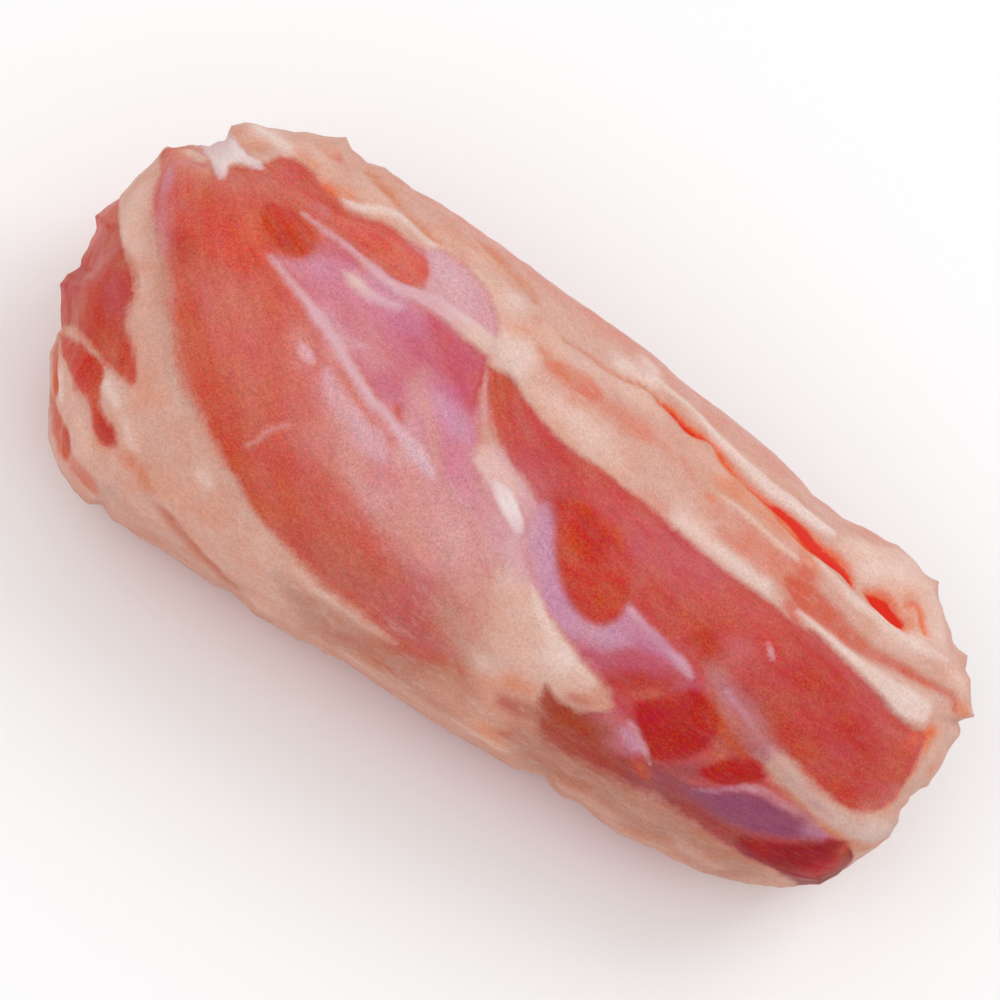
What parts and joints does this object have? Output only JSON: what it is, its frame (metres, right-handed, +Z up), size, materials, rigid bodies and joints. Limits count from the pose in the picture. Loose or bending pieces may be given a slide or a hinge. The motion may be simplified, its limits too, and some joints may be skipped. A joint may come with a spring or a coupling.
{
  "type": "veal shank",
  "caption": "Raw trimmed veal shank lying on its side: a blunt tapering piece with muscle bellies, seams and a rim of fat.",
  "frame": {"origin": "on the surface that the shank lies on, below the middle of its box", "axes": "+X along the shank from the thick end to the narrow end, +Z up, +Y across"},
  "size_m": [0.2516, 0.1118, 0.0846],
  "materials": {
    "raw_meat": "moist raw meat with cream fat and pale silverskin"
  },
  "bodies": {
    "root": {"veal_shank": "raw_meat"}
  },
  "joints": []
}
